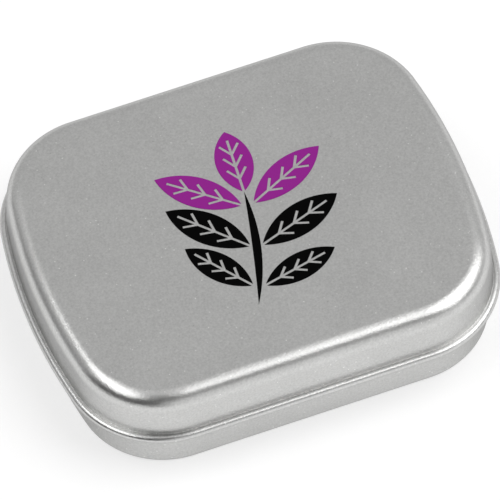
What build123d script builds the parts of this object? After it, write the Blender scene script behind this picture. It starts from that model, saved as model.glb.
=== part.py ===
from build123d import *
import os
from math import acos, atan2, cos, degrees, hypot, radians, sin, sqrt

# A small hinged tin for mints: a drawn sheet body, and a drawn lid that turns on its own rolled bead.
# X runs along the tin, +Y is the hinge side, +Z is up. The origin is the middle of the flat base.
# All lengths are in millimetres and all angles in degrees.

# Size of the closed tin, measured across the lid's bead
tin_length = 60.0
tin_width = 48.6
tin_height = 14.45
corner_radius = 13.1
end_bow_radius = 76.0

# The sheet that both shells are drawn from
sheet = 0.23
curl_crease = 0.06

# Lid
lid_edge_radius = 2.4
lid_edge_inset = 1.09
bead_radius = 0.62
bead_height = 7.1
bead_overhang = 0.88
bead_root_radius = 0.05
bead_root_run = 0.04

# Body
fit_gap = 0.29
base_inset = 1.62
base_edge_radius = 0.9
neck_bend_radius = 0.8
rim_curl_radius = 0.57
rim_gap = 0.15

# Hinge: two tongues of the body's back wall, rolled round the lid's bead through slots in the lid
tongue_width = 5.0
tongue_turn = 260.0
tongue_kerf = 0.15
slot_side_gap = 0.3
slot_top_gap = 0.25
slot_end_margin = 2.0

# Ink on the lid: one sprig of leaves, printed in two colours
ink_film = 0.04
sprig_height = 27.0
vein_width = 0.34
vein_lean = 38.0
leaf_lean = 57.0
sprig_turn = -14.0

# The sprig's own sizes, as shares of its height
sprig_bend_share = 0.026
stem_width_share = 0.041
leaf_length_share = 0.46
leaf_width_share = 0.174
tip_leaf_length_share = 0.355
tip_leaf_width_share = 0.178
leaf_stalk_gap_share = 0.033

# Places along the stem with the size of each pair of leaves, and veins as shares of a leaf
black_leaf_shares = [(0.14, 0.84), (0.49, 0.98)]
purple_leaf_shares = [(0.86, 0.96)]
vein_start_shares = [0.22, 0.42, 0.62]
midrib_share = 0.86
side_vein_share = 0.42

# One overrun for every cut
overrun = 1.5


class Bend:
    """One rolled bend in a sheet's section: its centre, and how far outside it the outer face runs.

    A section is drawn with x along the outward direction, zero at the bead's outermost line,
    and z up. The reach is negative where the centre lies outside the outer face.
    """

    def __init__(self, x, z, reach):
        self.x = x
        self.z = z
        self.reach = reach

    def point(self, normal, depth=0.0):
        """Point of the sheet that looks along the normal, at a depth below the outer face."""
        away = self.reach - depth
        return (self.x + away * cos(radians(normal)), self.z + away * sin(radians(normal)))

    def arc(self, first, last, depth=0.0):
        """Arc of the sheet at a depth, from one normal to another."""
        away = self.reach - depth
        start = first if away > 0 else first + 180
        return CenterArc((self.x, self.z), abs(away), start, last - first)


def run_normal(upper, lower):
    """Normal of the straight run of sheet that leaves the upper bend for the lower one."""
    across = lower.x - upper.x
    down = lower.z - upper.z
    apart = hypot(across, down)
    return degrees(atan2(down, across) + acos((upper.reach - lower.reach) / apart))


def sheet_section(first_normal, bends, last_normal):
    """Section of one sheet that runs straight from bend to bend, as a face in the XY plane."""
    runs = [run_normal(upper, lower) for upper, lower in zip(bends, bends[1:])]
    normals = [first_normal] + runs + [last_normal]
    edges = []
    for depth in (0, sheet):
        for place, bend in enumerate(bends):
            edges.append(bend.arc(normals[place], normals[place + 1], depth))
        for place, normal in enumerate(runs):
            edges.append(Line(bends[place].point(normal, depth), bends[place + 1].point(normal, depth)))
    edges.append(Line(bends[0].point(first_normal), bends[0].point(first_normal, sheet)))
    edges.append(Line(bends[-1].point(last_normal), bends[-1].point(last_normal, sheet)))
    return make_face(edges)


# Plan of the tin: straight long sides, bowed ends and corner arcs that meet them without a kink
corner_y = tin_width / 2 - corner_radius
bow_centre_x = tin_length / 2 - end_bow_radius
corner_x = bow_centre_x + sqrt((end_bow_radius - corner_radius) ** 2 - corner_y**2)
bow_half_angle = degrees(atan2(corner_y, corner_x - bow_centre_x))
corner_angle = 90 - bow_half_angle


def plan_arcs():
    """The plan's arcs as (centre x, centre y, radius, start angle, turn)."""
    return [
        (bow_centre_x, 0, end_bow_radius, -bow_half_angle, 2 * bow_half_angle),
        (corner_x, corner_y, corner_radius, bow_half_angle, corner_angle),
        (-corner_x, corner_y, corner_radius, 90, corner_angle),
        (-bow_centre_x, 0, end_bow_radius, 180 - bow_half_angle, 2 * bow_half_angle),
        (-corner_x, -corner_y, corner_radius, 180 + bow_half_angle, corner_angle),
        (corner_x, -corner_y, corner_radius, 270, corner_angle),
    ]


def plate(inset, low, high):
    """Flat plate inside the plan, drawn in by the inset, between two heights."""
    edges = [
        CenterArc((x, y), radius - inset, start, turn)
        for x, y, radius, start, turn in plan_arcs()
    ]
    side_y = tin_width / 2 - inset
    for y in (side_y, -side_y):
        edges.append(Line((-corner_x, y), (corner_x, y)))
    return Pos(0, 0, low) * extrude(make_face(edges), high - low)


def ring(section):
    """The section carried once round the plan."""
    upright = Rot(X=90) * section
    pieces = [
        Pos(x, y) * Rot(Z=start) * revolve(Pos(X=radius) * upright, Axis.Z, turn)
        for x, y, radius, start, turn in plan_arcs()
    ]
    pieces += [straight(section, -corner_x, corner_x, facing) for facing in (90, 270)]
    return pieces


def straight(section, low, high, facing=90):
    """The section run straight between two places along a long side."""
    upright = Pos(X=tin_width / 2) * Rot(X=90) * section
    side = Pos(X=low) * Rot(Z=90) * upright
    run = extrude(side, high - low, dir=(1, 0, 0))
    return Rot(Z=facing - 90) * run


def fused(first, *others):
    """One shape from pieces that meet."""
    return first.fuse(*others).clean()


# The lid: flat panel, rounded edge, upright skirt, and a rim bent outwards and curled under into the bead
lid_edge_x = -(lid_edge_inset + lid_edge_radius)
lid_edge = Bend(lid_edge_x, tin_height - lid_edge_radius, lid_edge_radius)
bead = Bend(-bead_radius, bead_height, bead_radius)
bead_root_x = bead_root_radius - bead_overhang
bead_root_reach = hypot(bead_root_radius + bead_radius, bead_root_run)
bead_root_height = bead_height + sqrt(bead_root_reach**2 - (bead.x - bead_root_x) ** 2)
bead_root = Bend(bead_root_x, bead_root_height, -bead_root_radius)
bead_start_normal = run_normal(bead_root, bead)

# The curl ends inside the lid, a crease away from the sheet where the bead begins
root_heading = degrees(atan2(bead_root.z - bead.z, bead_root.x - bead.x))
curl_end_reach = bead_root_radius + sheet + curl_crease
curl_end_angle = degrees(
    acos(
        (bead_root_reach**2 + bead_radius**2 - curl_end_reach**2)
        / (2 * bead_root_reach * bead_radius)
    )
)
bead_end_normal = root_heading + curl_end_angle - 360

# The body: flat base, rounded foot, drafted wall, a neck that leans in under the lid, and a rim curled inwards
rim_curl_height = tin_height - sheet - rim_gap - rim_curl_radius
rim_curl = Bend(lid_edge_x, rim_curl_height, rim_curl_radius)
base_edge = Bend(-(base_inset + base_edge_radius), base_edge_radius, base_edge_radius)
bead_hold = Bend(-bead_radius, bead_height, -(bead_radius + fit_gap))
wall_normal = run_normal(bead_hold, base_edge)
neck_x, neck_z = bead_hold.point(wall_normal, neck_bend_radius)
neck_bend = Bend(neck_x, neck_z, neck_bend_radius)
neck_normal = run_normal(rim_curl, neck_bend)
rim_closing = degrees(acos((rim_curl_radius - sheet - curl_crease) / rim_curl_radius))
rim_start_normal = neck_normal + 360 - rim_closing

# The hinge: each tongue carries the wall on round the bead, and leaves its own length open above it
tongue_middle_radius = bead_radius + fit_gap + sheet / 2
window_height = tongue_middle_radius * radians(tongue_turn)
window_width = tongue_width + 2 * tongue_kerf
slot_width = tongue_width + 2 * slot_side_gap
slot_height = bead_radius + fit_gap + sheet + slot_top_gap
slot_foot = (bead.point(bead_start_normal)[0], bead_height)
hinge_x = corner_x - slot_end_margin - slot_width / 2


def opening_section(foot, normal, depth_out, depth_in, height):
    """Four-sided section that rises from a foot along a run with the given normal."""
    out = (cos(radians(normal)), sin(radians(normal)))
    rise = (-out[1], out[0])

    def corner(away, up):
        return (foot[0] + away * out[0] + up * rise[0], foot[1] + away * out[1] + up * rise[1])

    return make_face(
        Polyline(
            corner(depth_out, 0),
            corner(depth_out, height),
            corner(-depth_in, height),
            corner(-depth_in, 0),
            close=True,
        )
    )


def at_hinges(section, width):
    """The section run across both hinge places on the back wall."""
    return [straight(section, x - width / 2, x + width / 2) for x in (-hinge_x, hinge_x)]


def lid_shell():
    """The lid, with a slot above the bead for each tongue."""
    section = sheet_section(90, [lid_edge, bead_root, bead], bead_end_normal)
    panel = plate(-lid_edge_x, tin_height - sheet, tin_height)
    slot = opening_section(slot_foot, 0, 0, sheet + overrun, slot_height)
    return fused(panel, *ring(section)).cut(*at_hinges(slot, slot_width))


def body_shell():
    """The body, with its two hinge tongues and the windows that they were cut from."""
    section = sheet_section(rim_start_normal, [rim_curl, neck_bend, base_edge], -90)
    base = plate(-base_edge.x, 0, sheet)
    foot = bead_hold.point(wall_normal)
    window = opening_section(foot, wall_normal, overrun, sheet + overrun, window_height)
    tongue = sheet_section(wall_normal, [bead_hold], wall_normal - tongue_turn)
    shell = fused(base, *ring(section)).cut(*at_hinges(window, window_width))
    return fused(shell, *at_hinges(tongue, tongue_width))


def leaf(length, width):
    """Pointed leaf along +X from the origin, with its midrib and side veins left bare."""
    upper = ThreePointArc((0, 0), (length / 2, width / 2), (length, 0))
    lower = ThreePointArc((0, 0), (length / 2, -width / 2), (length, 0))
    blade = make_face([upper, lower])
    rib_length = length * midrib_share
    veins = [Pos(rib_length / 2) * Rectangle(rib_length, vein_width)]
    side_length = width * side_vein_share
    for share in vein_start_shares:
        for side in (1, -1):
            vein = Pos(side_length / 2) * Rectangle(side_length, vein_width)
            veins.append(Pos(length * share) * Rot(Z=side * vein_lean) * vein)
    return blade.cut(*veins)


def sprig_leaves(stem_line, leaf_shares):
    """Pairs of leaves at places along the stem, each pair with its own size."""
    leaves = []
    for place, size in leaf_shares:
        at = stem_line @ place
        heading = stem_line % place
        stem_angle = degrees(atan2(heading.Y, heading.X))
        for side in (1, -1):
            shape = leaf(leaf_length * size, leaf_width * size)
            spot = Pos(at.X, at.Y) * Rot(Z=stem_angle + side * leaf_lean) * Pos(X=leaf_stalk_gap)
            leaves.append(spot * shape)
    return leaves


def printed(shapes):
    """The flat shapes as a film of ink on the lid's panel."""
    film = [extrude(shape, ink_film) for shape in shapes]
    spot = Pos(0, 0, tin_height) * Rot(Z=sprig_turn)
    return Compound([spot * solid for shape in film for solid in shape.solids()])


# The sprig's stem is an arc, drawn with two flanks that meet in points at its ends
sprig_bend = sprig_bend_share * sprig_height
stem_width = stem_width_share * sprig_height
leaf_length = leaf_length_share * sprig_height
leaf_width = leaf_width_share * sprig_height
tip_leaf_length = tip_leaf_length_share * sprig_height
tip_leaf_width = tip_leaf_width_share * sprig_height
leaf_stalk_gap = leaf_stalk_gap_share * sprig_height
stem_top_y = sprig_height / 2 - tip_leaf_length
stem_low = (0, -sprig_height / 2)
stem_high = (0, stem_top_y)
stem_mid_y = (stem_top_y - sprig_height / 2) / 2
stem_line = ThreePointArc(stem_low, (sprig_bend, stem_mid_y), stem_high)


def stem():
    """Tapered stem between its two flanks."""
    left = ThreePointArc(stem_low, (sprig_bend - stem_width / 2, stem_mid_y), stem_high)
    right = ThreePointArc(stem_low, (sprig_bend + stem_width / 2, stem_mid_y), stem_high)
    return make_face([left, right])


def print_black():
    """Stem and lower leaves."""
    return printed([stem()] + sprig_leaves(stem_line, black_leaf_shares))


def print_purple():
    """Upper leaves and the leaf at the tip."""
    heading = stem_line % 1
    stem_angle = degrees(atan2(heading.Y, heading.X))
    tip = Pos(0, stem_top_y) * Rot(Z=stem_angle) * leaf(tip_leaf_length, tip_leaf_width)
    return printed(sprig_leaves(stem_line, purple_leaf_shares) + [tip])


os.makedirs("parts", exist_ok=True)
for build in (body_shell, lid_shell, print_purple, print_black):
    export_step(build(), f"parts/{build.__name__}.step")
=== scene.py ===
from math import acos, atan2, ceil, cos, degrees, hypot, pi, radians, sin, sqrt

import bmesh
import bpy
from mathutils import Matrix, Vector


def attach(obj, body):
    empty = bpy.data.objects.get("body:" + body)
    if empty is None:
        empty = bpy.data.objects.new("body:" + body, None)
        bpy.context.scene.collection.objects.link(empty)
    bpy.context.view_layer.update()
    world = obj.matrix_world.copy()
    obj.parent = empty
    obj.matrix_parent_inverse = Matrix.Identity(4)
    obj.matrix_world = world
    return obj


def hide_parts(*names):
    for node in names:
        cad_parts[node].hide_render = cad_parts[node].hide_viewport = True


# The small hinged tin, dressed: both drawn shells, the ink on the lid, a pale studio and the camera.
# X runs along the tin, +Y is the hinge side, +Z is up. Lengths are in metres, angles in degrees.
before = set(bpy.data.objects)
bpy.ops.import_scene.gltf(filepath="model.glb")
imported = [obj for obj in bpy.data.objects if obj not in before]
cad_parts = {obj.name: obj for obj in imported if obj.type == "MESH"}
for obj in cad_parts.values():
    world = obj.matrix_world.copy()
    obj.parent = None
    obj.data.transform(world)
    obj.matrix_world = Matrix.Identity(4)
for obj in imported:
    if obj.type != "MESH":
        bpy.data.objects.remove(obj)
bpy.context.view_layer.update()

MM = 0.001

# Size of the closed tin, measured across the lid's bead
TIN_LENGTH = 60.0 * MM
TIN_WIDTH = 48.6 * MM
TIN_HEIGHT = 14.45 * MM
CORNER_RADIUS = 13.1 * MM
END_BOW_RADIUS = 76.0 * MM

# The sheet, and the gap that a curl leaves where it closes
SHEET = 0.23 * MM
CURL_CREASE = 0.06 * MM

# Lid
LID_EDGE_RADIUS = 2.4 * MM
LID_EDGE_INSET = 1.09 * MM
BEAD_RADIUS = 0.62 * MM
BEAD_HEIGHT = 7.1 * MM
BEAD_OVERHANG = 0.88 * MM
BEAD_ROOT_RADIUS = 0.05 * MM
BEAD_ROOT_RUN = 0.04 * MM

# Body
FIT_GAP = 0.29 * MM
BASE_INSET = 1.62 * MM
BASE_EDGE_RADIUS = 0.9 * MM
NECK_BEND_RADIUS = 0.8 * MM
RIM_CURL_RADIUS = 0.57 * MM
RIM_GAP = 0.15 * MM

# Hinge tongues, and the slots and windows that belong to them
TONGUE_WIDTH = 5.0 * MM
TONGUE_TURN = 260.0
TONGUE_KERF = 0.15 * MM
SLOT_SIDE_GAP = 0.3 * MM
SLOT_TOP_GAP = 0.25 * MM
SLOT_END_MARGIN = 2.0 * MM
CUT_REACH = 1.5 * MM

# How finely the shells are drawn: the turn from point to point in a bend and along the plan's arcs, the
# step along its straight sides, how far supports stand from the ends of a run, the run above which it gets
# them, the flat strip beside a panel's bend, and the turn from which an edge counts as sharp
BEND_STEP = 5.0
PLAN_STEP = 1.5
STRAIGHT_STEP = 1.0 * MM
SUPPORT_RUN = 0.06 * MM
LONG_RUN = 4 * SUPPORT_RUN
PLATE_MARGIN = 0.5 * MM
SHARP_ANGLE = 32.0

# Grain of the sheet: its tooth, its clouds and its specks, which are scratches whose glint is painted as
# lighter colour. A speck's core and edge are shares of the spacing, and the last share is of the places
# that have no speck
TOOTH_SIZE = 0.28 * MM
TOOTH_DETAIL = 3.0
TOOTH_FADE = 0.6
CLOUD_SIZE = 9.0 * MM
CLOUD_DETAIL = 2.0
SPECK_SPACING = 0.85 * MM
SPECK_CORE_SHARE = 0.04
SPECK_EDGE_SHARE = 0.14
NO_SPECK_SHARE = 0.55

# Tinplate: its tone, and what the grain's tooth, clouds and specks add to its darkest level, the specks as
# a painted glint.
# Below a roughness of about 0.274 the renderer's denoiser wipes the tooth away, so the roughness hardly
# varies
PLATE_TONE = (0.57, 0.57, 0.562)
PLATE_EDGE_TINT = (0.55, 0.55, 0.55, 1)
PLATE_DARKEST = 0.7
TOOTH_LIGHT = 0.55
CLOUD_LIGHT = 0.15
# What the specks add is a painted glint of fine scratches
SPECK_GLINT_LIGHT = 0.5
PLATE_ROUGHNESS = 0.278
PLATE_ROUGHNESS_SPREAD = 0.008
PLATE_RELIEF = 0.03 * MM

# Inks
PURPLE = (0.257, 0.0185, 0.238)
BLACK = (0.0005, 0.0005, 0.0005)
INK_SHINE = 0.03
INK_SMOOTHEST = 0.42
INK_ROUGHEST = 0.55
INK_RELIEF = 0.004 * MM

# Floor, which is lifted to white for the camera and for reflections but keeps the tin's shadow
FLOOR_HALF = 3.0
FLOOR_TONE = (0.5, 0.5, 0.5, 1)
FLOOR_ROUGHNESS = 0.8
FLOOR_SHINE = 0.1
FLOOR_LIFT = 0.55
WHITE = (1, 1, 1, 1)

# The room, seen from the tin, in angles over the top from the far horizon (0) through the zenith (90)
# to the near one (180): a far wall, a ceiling, a dark strip and a near wall. Each of the last three
# starts with a soft change between two angles. Sideways, a wall or the strip changes from its left
# level to its right one between two shares of the way to the right, which runs from -1 to 1.
CEILING_START = (58, 72)
STRIP_START = (106, 122)
NEAR_WALL_START = (141, 156)
FAR_WALL_LEVELS = (0.22, 0.6)
FAR_WALL_CHANGE_SHARES = (-0.95, -0.78)
CEILING_LEVEL = 0.5
STRIP_LEVELS = (0.05, 0.3)
STRIP_CHANGE_SHARES = (-0.15, 0.25)
NEAR_WALL_LEVELS = (0.07, 0.92)
NEAR_WALL_CHANGE_SHARES = (-0.15, 0.12)
SOFTBOX_DISTANCE = 1.0

# Camera, set to the photograph's viewing angle. Its azimuth is negative to the left of the front, and its
# scale is in pixels for a metre at the tin. The sensor is in millimetres, as the camera takes it.
VIEW_AZIMUTH = -17.055
VIEW_ELEVATION = 55.885
VIEW_ROLL = -3.814
VIEW_DISTANCE = 1.6199
VIEW_SCALE = 7.827 / MM
AIM_RIGHT = -0.204 * MM
AIM_UP = 3.899 * MM
IMAGE_WIDTH = 500
SENSOR_WIDTH = 36.0
NEAREST_SEEN = 0.1
FARTHEST_SEEN = 20.0


# Objects, and the plain meshes that come out of trees
def add_object(name, data):
    """A new object in the scene."""
    piece = bpy.data.objects.new(name, data)
    bpy.context.scene.collection.objects.link(piece)
    return piece


def poly_curve(name, points, closed):
    """A curve object of straight pieces through the points."""
    data = bpy.data.curves.new(name, "CURVE")
    data.dimensions = "3D"
    spline = data.splines.new("POLY")
    spline.points.add(len(points) - 1)
    for spot, point in zip(spline.points, points):
        spot.co = (*point, 1)
    spline.use_cyclic_u = closed
    return add_object(name, data)


def plain_mesh(name, source, remove=()):
    """A new object with the source's evaluated mesh; the source and its helpers are removed."""
    bpy.context.view_layer.update()
    graph = bpy.context.evaluated_depsgraph_get()
    mesh = bpy.data.meshes.new_from_object(source.evaluated_get(graph))
    for helper in (source, *remove):
        bpy.data.objects.remove(helper)
    mesh.name = name
    return add_object(name, mesh)


# Node trees, for shapes and for finishes
def put(tree, kind, inputs=None, **settings):
    """A node with its settings, and its inputs set to values or joined to other nodes' sockets."""
    node = tree.nodes.new(kind)
    for name, value in settings.items():
        setattr(node, name, value)
    for name, value in (inputs or {}).items():
        socket = node.inputs[name]
        if isinstance(value, bpy.types.NodeSocket):
            tree.links.new(value, socket)
        else:
            socket.default_value = value
    return node


def worked_out(tree, operation, *values):
    """The result of one operation on values or other nodes' sockets."""
    node = put(tree, "ShaderNodeMath", dict(enumerate(values)), operation=operation)
    return node.outputs["Value"]


def shape_tree(name, sizes):
    """A geometry tree with geometry in and out, and named inputs."""
    tree = bpy.data.node_groups.new(name, "GeometryNodeTree")
    tree.interface.new_socket("Geometry", in_out="INPUT", socket_type="NodeSocketGeometry")
    tree.interface.new_socket("Geometry", in_out="OUTPUT", socket_type="NodeSocketGeometry")
    for label, kind in sizes.items():
        tree.interface.new_socket(label, in_out="INPUT", socket_type=kind)
    return tree, tree.nodes.new("NodeGroupInput"), tree.nodes.new("NodeGroupOutput")


def end_in_metal(tree, shape, given, result):
    """Ends a shape's tree with real geometry in its metal."""
    real = put(tree, "GeometryNodeRealizeInstances", {"Geometry": shape})
    metal = put(
        tree,
        "GeometryNodeSetMaterial",
        {"Geometry": real.outputs["Geometry"], "Material": given.outputs["Metal"]},
    )
    tree.links.new(metal.outputs["Geometry"], result.inputs["Geometry"])


def grow(piece, tree, values):
    """Puts the tree on the piece, with its named inputs set."""
    modifier = piece.modifiers.new(tree.name, "NODES")
    modifier.node_group = tree
    for item in tree.interface.items_tree:
        if item.in_out == "INPUT" and item.name in values:
            modifier[item.identifier] = values[item.name]


def sweep_tree():
    """Carries a section round a plan, upright all the way."""
    tree, given, result = shape_tree(
        "Drawn sheet", {"Section": "NodeSocketObject", "Metal": "NodeSocketMaterial"}
    )
    section = put(tree, "GeometryNodeObjectInfo", {"Object": given.outputs["Section"]})
    upright = put(
        tree, "GeometryNodeSetCurveNormal", {"Curve": given.outputs["Geometry"]}, mode="Z_UP"
    )
    sheet = put(
        tree,
        "GeometryNodeCurveToMesh",
        {"Curve": upright.outputs["Curve"], "Profile Curve": section.outputs["Geometry"]},
    )
    end_in_metal(tree, sheet.outputs["Mesh"], given, result)
    return tree


def opening_tree():
    """Cuts a pair of oblong openings, each side of the middle, through a wall."""
    sizes = {
        "Width": "NodeSocketFloat",
        "Height": "NodeSocketFloat",
        "Depth": "NodeSocketFloat",
        "Place": "NodeSocketVector",
        "Tilt": "NodeSocketVector",
        "Metal": "NodeSocketMaterial",
    }
    tree, given, result = shape_tree("Pair of openings", sizes)
    extent = put(
        tree,
        "ShaderNodeCombineXYZ",
        {
            "X": given.outputs["Width"],
            "Y": given.outputs["Depth"],
            "Z": given.outputs["Height"],
        },
    )
    block = put(tree, "GeometryNodeMeshCube", {"Size": extent.outputs["Vector"]})
    mirrored = put(
        tree,
        "ShaderNodeVectorMath",
        {0: given.outputs["Place"], 1: (-1, 1, 1)},
        operation="MULTIPLY",
    )
    blocks = [
        put(
            tree,
            "GeometryNodeTransform",
            {
                "Geometry": block.outputs["Mesh"],
                "Translation": place,
                "Rotation": given.outputs["Tilt"],
            },
        )
        for place in (given.outputs["Place"], mirrored.outputs["Vector"])
    ]
    cut = put(
        tree,
        "GeometryNodeMeshBoolean",
        {"Mesh 1": given.outputs["Geometry"]},
        operation="DIFFERENCE",
        solver="MANIFOLD",
    )
    for moved in blocks:
        tree.links.new(moved.outputs["Geometry"], cut.inputs["Mesh 2"])
    end_in_metal(tree, cut.outputs["Mesh"], given, result)
    return tree


# Sections of the drawn sheet
class Bend:
    """One rolled bend in a sheet's section: its centre, and how far outside it the outer face runs.

    A section is drawn with x along the outward direction, zero at the bead's outermost line,
    and z up. The reach is negative where the centre lies outside the outer face.
    """

    def __init__(self, x, z, reach):
        self.x = x
        self.z = z
        self.reach = reach

    def point(self, normal, depth=0.0):
        """Point of the sheet that looks along the normal, at a depth below the outer face."""
        away = self.reach - depth
        return (self.x + away * cos(radians(normal)), self.z + away * sin(radians(normal)))

    def points(self, first, last, depth=0.0):
        """Points of the bend from one normal to another."""
        count = ceil(abs(last - first) / BEND_STEP)
        return [self.point(first + (last - first) * i / count, depth) for i in range(count + 1)]


def run_normal(upper, lower):
    """Normal of the straight run of sheet that leaves the upper bend for the lower one."""
    across = lower.x - upper.x
    down = lower.z - upper.z
    apart = hypot(across, down)
    return degrees(atan2(down, across) + acos((upper.reach - lower.reach) / apart))


def supported(points):
    """The points with one more beside each end of every long run, so that shading stays on the bend."""
    held = [points[0]]
    for here, there in zip(points, points[1:]):
        length = hypot(there[0] - here[0], there[1] - here[1])
        if length > LONG_RUN:
            for share in (SUPPORT_RUN / length, 1 - SUPPORT_RUN / length):
                held.append(tuple(a + (b - a) * share for a, b in zip(here, there)))
        held.append(there)
    return held


def sheet_faces(first_normal, bends, last_normal):
    """The outer and the inner face of a sheet that runs straight from bend to bend."""
    runs = [run_normal(upper, lower) for upper, lower in zip(bends, bends[1:])]
    normals = [first_normal] + runs + [last_normal]
    faces = []
    for depth in (0, SHEET):
        face = []
        for bend, first, last in zip(bends, normals, normals[1:]):
            face += bend.points(first, last, depth)
        faces.append(supported(face))
    return faces


# Plan of the tin: straight long sides, bowed ends and corner arcs that meet them without a kink
CORNER_Y = TIN_WIDTH / 2 - CORNER_RADIUS
BOW_CENTRE_X = TIN_LENGTH / 2 - END_BOW_RADIUS
CORNER_X = BOW_CENTRE_X + sqrt((END_BOW_RADIUS - CORNER_RADIUS) ** 2 - CORNER_Y**2)
BOW_HALF_ANGLE = degrees(atan2(CORNER_Y, CORNER_X - BOW_CENTRE_X))


def arc_points(x, y, radius, start, end):
    """Points along an arc of the plan, without the last one."""
    count = ceil((end - start) / PLAN_STEP)
    turns = [radians(start + (end - start) * i / count) for i in range(count)]
    return [(x + radius * cos(turn), y + radius * sin(turn), 0) for turn in turns]


def side_points(start, end, y):
    """Points along a straight long side, without the last one."""
    count = ceil(abs(end - start) / STRAIGHT_STEP)
    return [(start + (end - start) * i / count, y, 0) for i in range(count)]


def plan_points():
    """The tin's plan at the bead's outermost line, once round, anticlockwise from above."""
    half = BOW_HALF_ANGLE
    side_y = TIN_WIDTH / 2
    points = arc_points(BOW_CENTRE_X, 0, END_BOW_RADIUS, -half, half)
    points += arc_points(CORNER_X, CORNER_Y, CORNER_RADIUS, half, 90)
    points += side_points(CORNER_X, -CORNER_X, side_y)
    points += arc_points(-CORNER_X, CORNER_Y, CORNER_RADIUS, 90, 180 - half)
    points += arc_points(-BOW_CENTRE_X, 0, END_BOW_RADIUS, 180 - half, 180 + half)
    points += arc_points(-CORNER_X, -CORNER_Y, CORNER_RADIUS, 180 + half, 270)
    points += side_points(-CORNER_X, CORNER_X, -side_y)
    points += arc_points(CORNER_X, -CORNER_Y, CORNER_RADIUS, 270, 360 - half)
    return points


# Bends of the lid
LID_EDGE_X = -(LID_EDGE_INSET + LID_EDGE_RADIUS)
lid_edge = Bend(LID_EDGE_X, TIN_HEIGHT - LID_EDGE_RADIUS, LID_EDGE_RADIUS)
bead = Bend(-BEAD_RADIUS, BEAD_HEIGHT, BEAD_RADIUS)
BEAD_ROOT_X = BEAD_ROOT_RADIUS - BEAD_OVERHANG
BEAD_ROOT_REACH = hypot(BEAD_ROOT_RADIUS + BEAD_RADIUS, BEAD_ROOT_RUN)
BEAD_ROOT_HEIGHT = BEAD_HEIGHT + sqrt(BEAD_ROOT_REACH**2 - (bead.x - BEAD_ROOT_X) ** 2)
bead_root = Bend(BEAD_ROOT_X, BEAD_ROOT_HEIGHT, -BEAD_ROOT_RADIUS)
BEAD_START_NORMAL = run_normal(bead_root, bead)

# The curl ends inside the lid, a crease away from the sheet where the bead begins
ROOT_HEADING = degrees(atan2(bead_root.z - bead.z, bead_root.x - bead.x))
CURL_END_REACH = BEAD_ROOT_RADIUS + SHEET + CURL_CREASE
CURL_END_ANGLE = degrees(
    acos(
        (BEAD_ROOT_REACH**2 + BEAD_RADIUS**2 - CURL_END_REACH**2)
        / (2 * BEAD_ROOT_REACH * BEAD_RADIUS)
    )
)
BEAD_END_NORMAL = ROOT_HEADING + CURL_END_ANGLE - 360

# Bends of the body
RIM_CURL_HEIGHT = TIN_HEIGHT - SHEET - RIM_GAP - RIM_CURL_RADIUS
rim_curl = Bend(LID_EDGE_X, RIM_CURL_HEIGHT, RIM_CURL_RADIUS)
base_edge = Bend(-(BASE_INSET + BASE_EDGE_RADIUS), BASE_EDGE_RADIUS, BASE_EDGE_RADIUS)
bead_hold = Bend(-BEAD_RADIUS, BEAD_HEIGHT, -(BEAD_RADIUS + FIT_GAP))
WALL_NORMAL = run_normal(bead_hold, base_edge)
neck_bend = Bend(*bead_hold.point(WALL_NORMAL, NECK_BEND_RADIUS), NECK_BEND_RADIUS)
NECK_NORMAL = run_normal(rim_curl, neck_bend)
RIM_START_NORMAL = NECK_NORMAL + 360 - degrees(
    acos((RIM_CURL_RADIUS - SHEET - CURL_CREASE) / RIM_CURL_RADIUS)
)

# Openings at the hinge
WINDOW_HEIGHT = (BEAD_RADIUS + FIT_GAP + SHEET / 2) * radians(TONGUE_TURN)
WINDOW_WIDTH = TONGUE_WIDTH + 2 * TONGUE_KERF
SLOT_WIDTH = TONGUE_WIDTH + 2 * SLOT_SIDE_GAP
SLOT_HEIGHT = BEAD_RADIUS + FIT_GAP + SHEET + SLOT_TOP_GAP
HINGE_X = CORNER_X - SLOT_END_MARGIN - SLOT_WIDTH / 2


def turn_and_shade(work, faces):
    """Turns the faces outwards, and shades them smooth up to their true edges."""
    bmesh.ops.recalc_face_normals(work, faces=faces)
    for face in faces:
        face.smooth = True
        for edge in face.edges:
            edge.smooth = edge.calc_face_angle(0) < radians(SHARP_ANGLE)


def finish_edges(piece):
    """Closes the mesh, and turns and shades all its faces."""
    work = bmesh.new()
    work.from_mesh(piece.data)
    bmesh.ops.holes_fill(work, edges=[e for e in work.edges if e.is_boundary], sides=0)
    turn_and_shade(work, work.faces[:])
    work.to_mesh(piece.data)
    work.free()
    return piece


def drawn_shell(name, outline, metal):
    """A closed shell: the section carried round the plan, and its flat panel filled in.

    The sweep turns a section's y downwards, so its heights change sign on the way in.
    """
    plan = poly_curve(name + "_plan", plan_points(), True)
    section = poly_curve(name + "_section", [(x, -z, 0) for x, z in outline], False)
    grow(plan, SWEEP, {"Section": section, "Metal": metal})
    return finish_edges(plain_mesh(name, plan, [section]))


def open_pair(piece, metal, foot, normal, width, height, outward):
    """Cuts the pair of hinge openings that rise from a foot along a run with the given normal.

    Each cut goes its usual reach into the tin, and as far out of it as the outward length.
    """
    lean = radians(normal)
    aside = (outward - CUT_REACH) / 2
    x = foot[0] + aside * cos(lean) - height / 2 * sin(lean)
    z = foot[1] + aside * sin(lean) + height / 2 * cos(lean)
    values = {
        "Width": width,
        "Height": height,
        "Depth": CUT_REACH + outward,
        "Place": (HINGE_X, TIN_WIDTH / 2 + x, z),
        "Tilt": (lean, 0, 0),
        "Metal": metal,
    }
    grow(piece, OPENINGS, values)
    return finish_edges(plain_mesh(piece.name, piece))


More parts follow.
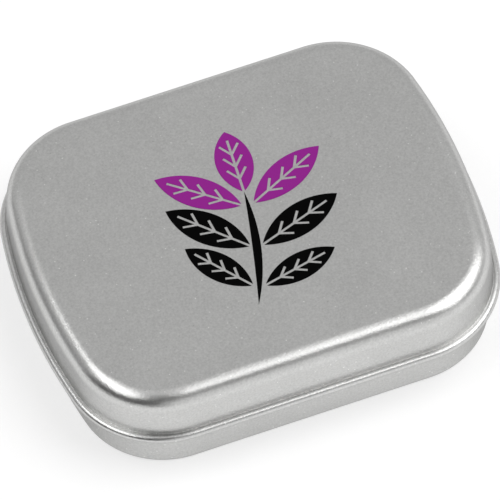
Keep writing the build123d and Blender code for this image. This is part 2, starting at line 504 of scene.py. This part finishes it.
def tongue(middle):
    """Corners and faces of one rolled tongue, as a strip of sheet across the hinge place.

    It rolls round the bead with the wall's outer face inwards.
    """
    inner, outer = sheet_faces(WALL_NORMAL, [bead_hold], WALL_NORMAL - TONGUE_TURN)
    outline = inner + outer[::-1]
    corners = []
    for x in (middle - TONGUE_WIDTH / 2, middle + TONGUE_WIDTH / 2):
        corners += [(x, TIN_WIDTH / 2 + away, z) for away, z in outline]
    count = len(outline)
    faces = [list(range(count)), list(range(count, 2 * count))]
    for here in range(count):
        there = (here + 1) % count
        faces.append([here, there, there + count, here + count])
    return corners, faces


def add_tongues(piece):
    """Adds both tongues to the body's mesh, face to face with the wall that they continue."""
    work = bmesh.new()
    work.from_mesh(piece.data)
    for middle in (-HINGE_X, HINGE_X):
        corners, faces = tongue(middle)
        made = [work.verts.new(corner) for corner in corners]
        turn_and_shade(work, [work.faces.new([made[i] for i in face]) for face in faces])
    work.to_mesh(piece.data)
    work.free()


# Shader groups that more than one finish uses
def finish_group(name, inputs, outputs):
    """A shader group with named inputs, each with its default, and named outputs."""
    group = bpy.data.node_groups.new(name, "ShaderNodeTree")
    for label, (kind, value) in inputs.items():
        socket = group.interface.new_socket(label, in_out="INPUT", socket_type=kind)
        if value is not None:
            socket.default_value = value
    for label, kind in outputs.items():
        group.interface.new_socket(label, in_out="OUTPUT", socket_type=kind)
    return group, group.nodes.new("NodeGroupInput"), group.nodes.new("NodeGroupOutput")


def grain_group():
    """Fine grain of rolled sheet: an even tooth, slow clouds, and sparse specks of scratches whose glint
    is painted as lighter colour.
    """
    group, given, result = finish_group(
        "Sheet grain",
        {
            "Vector": ("NodeSocketVector", None),
            "Grain Size": ("NodeSocketFloat", TOOTH_SIZE),
            "Cloud Size": ("NodeSocketFloat", CLOUD_SIZE),
            "Speck Spacing": ("NodeSocketFloat", SPECK_SPACING),
        },
        {"Grain": "NodeSocketFloat", "Cloud": "NodeSocketFloat", "Specks": "NodeSocketFloat"},
    )

    def texture(kind, size, **settings):
        """A texture on the group's coordinates, with the size or spacing of its marks."""
        scale = worked_out(group, "DIVIDE", 1.0, given.outputs[size])
        return put(
            group, kind, {"Vector": given.outputs["Vector"], "Scale": scale, **settings}
        ).outputs

    tooth = texture("ShaderNodeTexNoise", "Grain Size", Detail=TOOTH_DETAIL, Roughness=TOOTH_FADE)
    cloud = texture("ShaderNodeTexNoise", "Cloud Size", Detail=CLOUD_DETAIL)
    cells = texture("ShaderNodeTexVoronoi", "Speck Spacing")
    dots = put(
        group,
        "ShaderNodeMapRange",
        {"Value": cells["Distance"], "From Min": SPECK_EDGE_SHARE, "From Max": SPECK_CORE_SHARE},
    )
    chance = put(group, "ShaderNodeSeparateColor", {"Color": cells["Color"]}).outputs["Red"]
    # Sparse specks of scratches, later painted lighter as their glint
    chosen = worked_out(group, "GREATER_THAN", chance, NO_SPECK_SHARE)
    specks = worked_out(group, "MULTIPLY", dots.outputs["Result"], chosen)
    group.links.new(tooth["Fac"], result.inputs["Grain"])
    group.links.new(cloud["Fac"], result.inputs["Cloud"])
    group.links.new(specks, result.inputs["Specks"])
    return group


def finish(name):
    """A new material with its tree and its shader."""
    material = bpy.data.materials.new(name)
    material.use_nodes = True
    tree = material.node_tree
    return material, tree, tree.nodes["Principled BSDF"]


def sheet_grain(tree):
    """The sheet's grain in a material, on the piece's own coordinates."""
    place = put(tree, "ShaderNodeTexCoord").outputs["Object"]
    return put(tree, "ShaderNodeGroup", {"Vector": place}, node_tree=GRAIN).outputs


def give_tooth(tree, shader, tooth, smoothest, roughest, relief):
    """Lets the tooth show in a finish's roughness, and stand out by its relief."""
    rough = put(
        tree, "ShaderNodeMapRange", {"Value": tooth, "To Min": smoothest, "To Max": roughest}
    )
    bump = put(tree, "ShaderNodeBump", {"Height": tooth, "Distance": relief, "Strength": 1.0})
    tree.links.new(rough.outputs["Result"], shader.inputs["Roughness"])
    tree.links.new(bump.outputs["Normal"], shader.inputs["Normal"])


def tinplate(name):
    """Satin tinplate: bright metal with a fine tooth, faint clouds, and specks of scratches whose glint is
    painted as lighter colour.
    """
    material, tree, shader = finish(name)
    grain = sheet_grain(tree)
    level = PLATE_DARKEST
    # The specks lighten the base colour: a painted glint of fine scratches, under any lamp
    for effect, light in (("Grain", TOOTH_LIGHT), ("Cloud", CLOUD_LIGHT), ("Specks", SPECK_GLINT_LIGHT)):
        level = worked_out(tree, "MULTIPLY_ADD", grain[effect], light, level)
    toned = put(
        tree, "ShaderNodeVectorMath", {0: PLATE_TONE, "Scale": level}, operation="SCALE"
    )
    tree.links.new(toned.outputs["Vector"], shader.inputs["Base Color"])
    smoothest = PLATE_ROUGHNESS - PLATE_ROUGHNESS_SPREAD
    roughest = PLATE_ROUGHNESS + PLATE_ROUGHNESS_SPREAD
    give_tooth(tree, shader, grain["Grain"], smoothest, roughest, PLATE_RELIEF)
    shader.inputs["Metallic"].default_value = 1.0
    shader.inputs["Specular Tint"].default_value = PLATE_EDGE_TINT
    return material


def ink(name, colour):
    """Thin satin ink with the sheet's tooth just showing through."""
    material, tree, shader = finish(name)
    shader.inputs["Base Color"].default_value = (*colour, 1)
    shader.inputs["Specular IOR Level"].default_value = INK_SHINE
    give_tooth(tree, shader, sheet_grain(tree)["Grain"], INK_SMOOTHEST, INK_ROUGHEST, INK_RELIEF)
    return material


SWEEP = sweep_tree()
OPENINGS = opening_tree()
GRAIN = grain_group()

lid_metal = tinplate("lid_tinplate")
body_metal = tinplate("body_tinplate")
purple_ink = ink("purple_ink", PURPLE)
black_ink = ink("black_ink", BLACK)

# The lid
lid_outer, lid_inner = sheet_faces(90, [lid_edge, bead_root, bead], BEAD_END_NORMAL)
plate_x = LID_EDGE_X - PLATE_MARGIN
lid_outline = [(plate_x, TIN_HEIGHT), *lid_outer, *lid_inner[::-1], (plate_x, TIN_HEIGHT - SHEET)]
lid = drawn_shell("lid", lid_outline, lid_metal)
slot_foot = (bead.point(BEAD_START_NORMAL)[0], BEAD_HEIGHT)
lid = open_pair(
    lid, lid_metal, slot_foot, normal=0, width=SLOT_WIDTH, height=SLOT_HEIGHT, outward=0
)
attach(lid, "lid")
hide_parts("lid_shell")

# The body
body_outer, body_inner = sheet_faces(RIM_START_NORMAL, [rim_curl, neck_bend, base_edge], -90)
plate_x = base_edge.x - PLATE_MARGIN
body_outline = [(plate_x, 0), *body_outer[::-1], *body_inner, (plate_x, SHEET)]
body = drawn_shell("body", body_outline, body_metal)
window_foot = bead_hold.point(WALL_NORMAL)
body = open_pair(
    body,
    body_metal,
    window_foot,
    normal=WALL_NORMAL,
    width=WINDOW_WIDTH,
    height=WINDOW_HEIGHT,
    outward=CUT_REACH,
)
add_tongues(body)
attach(body, "body")
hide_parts("body_shell")

# The print, on its own CAD films
for node, material in (("print_purple", purple_ink), ("print_black", black_ink)):
    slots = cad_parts[node].data.materials
    slots.clear()
    slots.append(material)

# Floor
corners = [(x * FLOOR_HALF, y * FLOOR_HALF, 0) for x, y in ((-1, -1), (1, -1), (1, 1), (-1, 1))]
floor_mesh = bpy.data.meshes.new("floor")
floor_mesh.from_pydata(corners, [], [(0, 1, 2, 3)])
floor = add_object("floor", floor_mesh)
floor_finish, tree, shader = finish("pale_floor")
shader.inputs["Base Color"].default_value = FLOOR_TONE
shader.inputs["Roughness"].default_value = FLOOR_ROUGHNESS
shader.inputs["Specular IOR Level"].default_value = FLOOR_SHINE
shader.inputs["Emission Color"].default_value = WHITE
path = put(tree, "ShaderNodeLightPath").outputs
seen = path["Is Camera Ray"]
for ray in ("Is Glossy Ray", "Is Transmission Ray"):
    seen = worked_out(tree, "MAXIMUM", seen, path[ray])
lift = worked_out(tree, "MULTIPLY", seen, FLOOR_LIFT)
tree.links.new(lift, shader.inputs["Emission Strength"])
floor_mesh.materials.append(floor_finish)

# Studio directions, as the camera sees them
azimuth, elevation, roll = (radians(angle) for angle in (VIEW_AZIMUTH, VIEW_ELEVATION, VIEW_ROLL))
FAR = Vector((-sin(azimuth), cos(azimuth), 0))
RIGHTWARD = Vector((cos(azimuth), sin(azimuth), 0))
UPWARD = Vector((0, 0, 1))


def studio_direction(over, aside):
    """Unit vector towards a place in the studio: over the top, and sideways to the right."""
    over, aside = radians(over), radians(aside)
    return cos(aside) * (cos(over) * FAR + sin(over) * UPWARD) + sin(aside) * RIGHTWARD


def set_up(piece, spot, right, up, backward):
    """Puts a lamp or the camera at a spot, with its own axes along the given ones."""
    turn = Matrix((right, up, backward)).transposed().to_4x4()
    piece.matrix_world = Matrix.Translation(spot) @ turn


def softbox(name, over, aside, width, height, radiance):
    """A rectangular softbox that faces the tin, with its width running sideways."""
    lamp = bpy.data.lights.new(name, "AREA")
    lamp.shape = "RECTANGLE"
    lamp.size = width
    lamp.size_y = height
    lamp.energy = radiance * pi * width * height
    backward = studio_direction(over, aside)
    sideways = studio_direction(over, aside + 90)
    upright = backward.cross(sideways)
    set_up(add_object(name, lamp), backward * SOFTBOX_DISTANCE, sideways, upright, backward)


# Light: two softboxes on the ceiling, and the room round them
softbox("softbox_right", over=93, aside=37.5, width=0.92, height=0.92, radiance=2.15)
softbox("softbox_left", over=104, aside=-32, width=0.42, height=1.05, radiance=2.35)

world = bpy.data.worlds.new("studio")
bpy.context.scene.world = world
world.use_nodes = True
sky = world.node_tree
direction = put(sky, "ShaderNodeTexCoord").outputs["Generated"]


def share_along(axis):
    """How far the looking direction runs along an axis of the studio."""
    return put(
        sky, "ShaderNodeVectorMath", {0: direction, 1: axis}, operation="DOT_PRODUCT"
    ).outputs["Value"]


def ramp(value, span, levels):
    """A smooth change from the first level to the second, while a value crosses a span."""
    limits = zip(("From Min", "From Max", "To Min", "To Max"), (*span, *levels))
    return put(
        sky, "ShaderNodeMapRange", {"Value": value, **dict(limits)}, interpolation_type="SMOOTHSTEP"
    ).outputs["Result"]


def next_zone(before, start, after):
    """One level up to where a zone of the room starts, and another from there on."""
    share = ramp(over, [radians(angle) for angle in start], (0.0, 1.0))
    return put(sky, "ShaderNodeMix", {"Factor": share, "A": before, "B": after}).outputs["Result"]


over = worked_out(sky, "ARCTAN2", share_along(UPWARD), share_along(FAR))
right_share = share_along(RIGHTWARD)
far_wall = ramp(right_share, FAR_WALL_CHANGE_SHARES, FAR_WALL_LEVELS)
strip = ramp(right_share, STRIP_CHANGE_SHARES, STRIP_LEVELS)
near_wall = ramp(right_share, NEAR_WALL_CHANGE_SHARES, NEAR_WALL_LEVELS)
ceiling = next_zone(CEILING_LEVEL, STRIP_START, strip)
room = next_zone(next_zone(far_wall, CEILING_START, ceiling), NEAR_WALL_START, near_wall)
sky.nodes["Background"].inputs["Color"].default_value = WHITE
sky.links.new(room, sky.nodes["Background"].inputs["Strength"])

# Camera
back = Vector((sin(azimuth) * cos(elevation), -cos(azimuth) * cos(elevation), sin(elevation)))
level_up = back.cross(RIGHTWARD)
right = RIGHTWARD * cos(roll) + level_up * sin(roll)
up = level_up * cos(roll) - RIGHTWARD * sin(roll)
camera_data = bpy.data.cameras.new("camera")
camera_data.sensor_width = SENSOR_WIDTH
camera_data.lens = VIEW_SCALE * VIEW_DISTANCE / IMAGE_WIDTH * SENSOR_WIDTH
camera_data.clip_start = NEAREST_SEEN
camera_data.clip_end = FARTHEST_SEEN
camera = add_object("camera", camera_data)
set_up(camera, back * VIEW_DISTANCE + right * AIM_RIGHT + up * AIM_UP, right, up, back)
bpy.context.scene.camera = camera
bpy.context.scene.view_settings.view_transform = "Standard"
